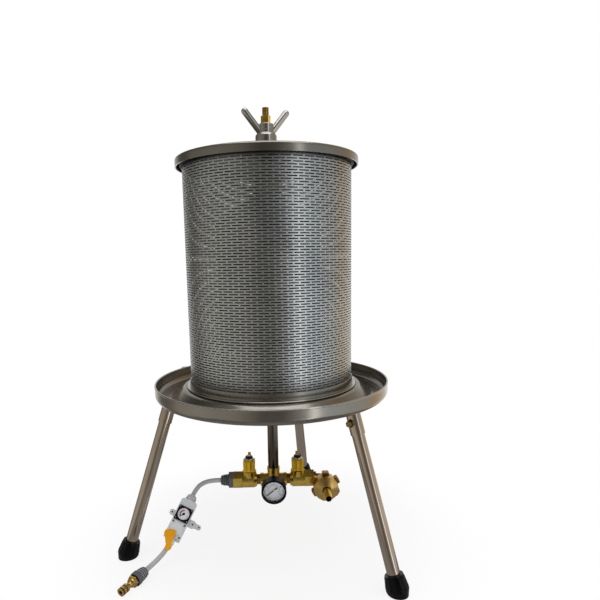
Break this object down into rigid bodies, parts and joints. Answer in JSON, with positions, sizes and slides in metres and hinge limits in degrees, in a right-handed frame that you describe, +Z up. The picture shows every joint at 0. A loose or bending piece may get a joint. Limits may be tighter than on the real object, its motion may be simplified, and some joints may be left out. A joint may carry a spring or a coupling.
{
  "type": "bladder fruit press",
  "caption": "Water-driven bladder press for fruit with a slotted stainless cage on a three-legged juice tray, brass valves, a pressure gauge and a hose regulator",
  "frame": {"origin": "on the floor, on the axis of the press", "axes": "+Z up along the press axis, +X to the right as seen from the gauge side, toward the drain valve, +Y to the back, away from the gauge"},
  "size_m": [0.5817, 0.5824, 0.9195],
  "materials": {
    "satin_stainless": "satin sheet and tube",
    "brass": "cast and turned, slightly dulled",
    "black_rubber": "matte moulded",
    "black_plastic": "moulded",
    "white_dial": "printed face",
    "clear_lens": "clear",
    "grey_plastic": "moulded, fine grain",
    "hose_plastic": "extruded, soft sheen",
    "pale_plastic": "moulded",
    "dark_steel": "blackened",
    "yellow_plastic": "powder coat on cast alloy",
    "amber_plastic": "moulded, glossy",
    "chromed_ball": "polished"
  },
  "bodies": {
    "base": {"juice_tray": "satin_stainless", "juice_spout": "satin_stainless", "leg_sockets": "satin_stainless", "leg_tubes": "satin_stainless", "rubber_feet": "black_rubber", "clamp_nuts": "brass", "clamp_bolts": "brass", "centre_column": "satin_stainless", "column_lock_nut": "satin_stainless", "bladder": "black_rubber", "bladder_clamps": "satin_stainless", "bladder_nut": "satin_stainless", "bleed_valve": "brass", "feed_socket": "satin_stainless", "feed_pipe": "satin_stainless", "brass_tee": "brass", "hex_nipples": "brass", "valve_end_caps": "brass", "packing_nuts": "brass", "gauge_adapter": "brass", "gauge_case": "black_plastic", "gauge_dial": "white_dial", "gauge_lens": "clear_lens", "drain_elbow": "brass", "hose_tail": "brass", "inlet_gland": "grey_plastic", "upper_hose": "hose_plastic", "lower_hose": "hose_plastic", "connector_gland": "grey_plastic", "quick_connector": "brass", "connector_seal": "black_rubber", "regulator_union": "pale_plastic", "regulator_body": "pale_plastic", "regulator_frame": "black_plastic", "regulator_dial": "white_dial", "regulator_cover": "pale_plastic", "regulator_screws": "dark_steel", "inlet_valve_body": "brass", "drain_valve_body": "brass"},
    "cage": {"press_cage": "satin_stainless", "cage_foot_ring": "satin_stainless", "cage_top_rim": "satin_stainless"},
    "lid": {"press_lid": "satin_stainless", "lid_gasket": "black_rubber"},
    "washer": {"thrust_washer": "satin_stainless"},
    "wing_nut": {"clamping_nut": "satin_stainless", "wing_rods": "satin_stainless"},
    "bleed_cap_body": {"bleed_cap": "brass"},
    "inlet_handle_body": {"inlet_handle": "yellow_plastic", "inlet_stem": "brass", "inlet_ball": "chromed_ball", "inlet_handle_nut": "dark_steel"},
    "drain_handle_body": {"drain_handle": "yellow_plastic", "drain_stem": "brass", "drain_ball": "chromed_ball", "drain_handle_nut": "dark_steel"},
    "gauge_needle_body": {"gauge_needle": "black_plastic"},
    "union_nut_body": {"union_nut": "brass"},
    "regulator_needle_body": {"regulator_needle": "black_plastic"},
    "regulator_lever_body": {"regulator_lever": "amber_plastic"}
  },
  "joints": [
    {"name": "cage_lift", "type": "slide", "parent": "base", "child": "cage", "axis": [0, 0, 1], "range_m": [0, 0.6]},
    {"name": "lid_lift", "type": "slide", "parent": "cage", "child": "lid", "axis": [0, 0, 1], "range_m": [0, 0.15]},
    {"name": "nut_rise", "type": "slide", "parent": "lid", "child": "washer", "axis": [0, 0, 1], "range_m": [0, 0.03]},
    {"name": "nut_turn", "type": "hinge", "parent": "washer", "child": "wing_nut", "pos_m": [0, 0, 0.8652], "axis": [0, 0, 1], "range_deg": [0, 2160]},
    {"name": "bleed_cap_turn", "type": "hinge", "parent": "base", "child": "bleed_cap_body", "pos_m": [0, 0, 0.9122], "axis": [0, 0, 1], "range_deg": [0, 360]},
    {"name": "inlet_valve_turn", "type": "hinge", "parent": "base", "child": "inlet_handle_body", "pos_m": [-0.054, 0, 0.164], "axis": [0, 0, 1], "range_deg": [0, 90]},
    {"name": "drain_valve_turn", "type": "hinge", "parent": "base", "child": "drain_handle_body", "pos_m": [0.054, 0, 0.164], "axis": [0, 0, 1], "range_deg": [0, 90]},
    {"name": "gauge_needle_turn", "type": "hinge", "parent": "base", "child": "gauge_needle_body", "pos_m": [0, -0.0595, 0.13], "axis": [0, 1, 0], "range_deg": [0, 270], "stiffness_Nm_per_rad": 0.0005, "springref_deg": -11.46},
    {"name": "union_nut_turn", "type": "hinge", "parent": "base", "child": "union_nut_body", "pos_m": [0.112, -0.053, 0.13], "axis": [0, -1, 0], "range_deg": [0, 360]},
    {"name": "regulator_needle_turn", "type": "hinge", "parent": "base", "child": "regulator_needle_body", "pos_m": [-0.19221, -0.07328, 0.08842], "axis": [-0.2602, 0.7282, -0.634], "range_deg": [0, 250], "stiffness_Nm_per_rad": 0.0002, "springref_deg": -11.46},
    {"name": "regulator_lever_turn", "type": "hinge", "parent": "base", "child": "regulator_lever_body", "pos_m": [-0.21618, -0.10753, 0.06349], "axis": [0.2602, -0.7282, 0.634], "range_deg": [0, 90]}
  ],
  "couplings": [
    {"joint": "nut_rise", "follows": "nut_turn", "m_per_rad": 0.00079577}
  ]
}
